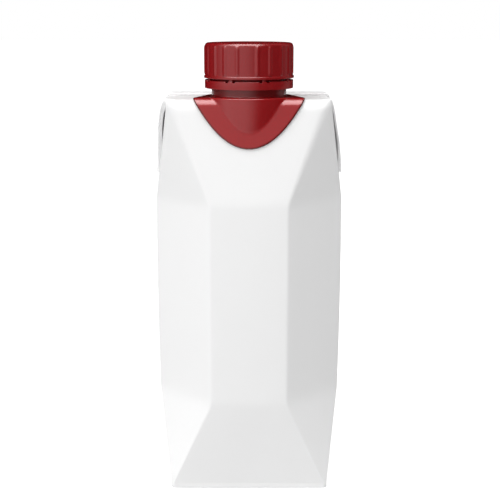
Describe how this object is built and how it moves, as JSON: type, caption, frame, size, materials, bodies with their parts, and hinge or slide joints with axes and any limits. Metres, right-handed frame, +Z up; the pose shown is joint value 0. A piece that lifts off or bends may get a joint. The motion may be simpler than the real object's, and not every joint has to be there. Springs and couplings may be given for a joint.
{
  "type": "water carton",
  "caption": "Plain white drinks carton with an octagonal waist, square ends, folded top fin and ears, and a red moulded spout with a ribbed screw cap.",
  "frame": {"origin": "middle of the square base, on the surface that the carton stands on", "axes": "+Z up; the spout is at the front, towards -Y; +X to the right seen from the front"},
  "size_m": [0.069, 0.0674, 0.1619],
  "materials": {
    "carton_board": "white coated paperboard, soft satin",
    "collar_plastic": "dark red moulded plastic, satin gloss",
    "band_plastic": "dark red moulded plastic, satin gloss",
    "cap_plastic": "dark red moulded plastic, satin gloss"
  },
  "bodies": {
    "root": {"carton": "carton_board", "spout_collar": "collar_plastic", "tamper_band": "band_plastic", "screw_cap": "cap_plastic"}
  },
  "joints": []
}
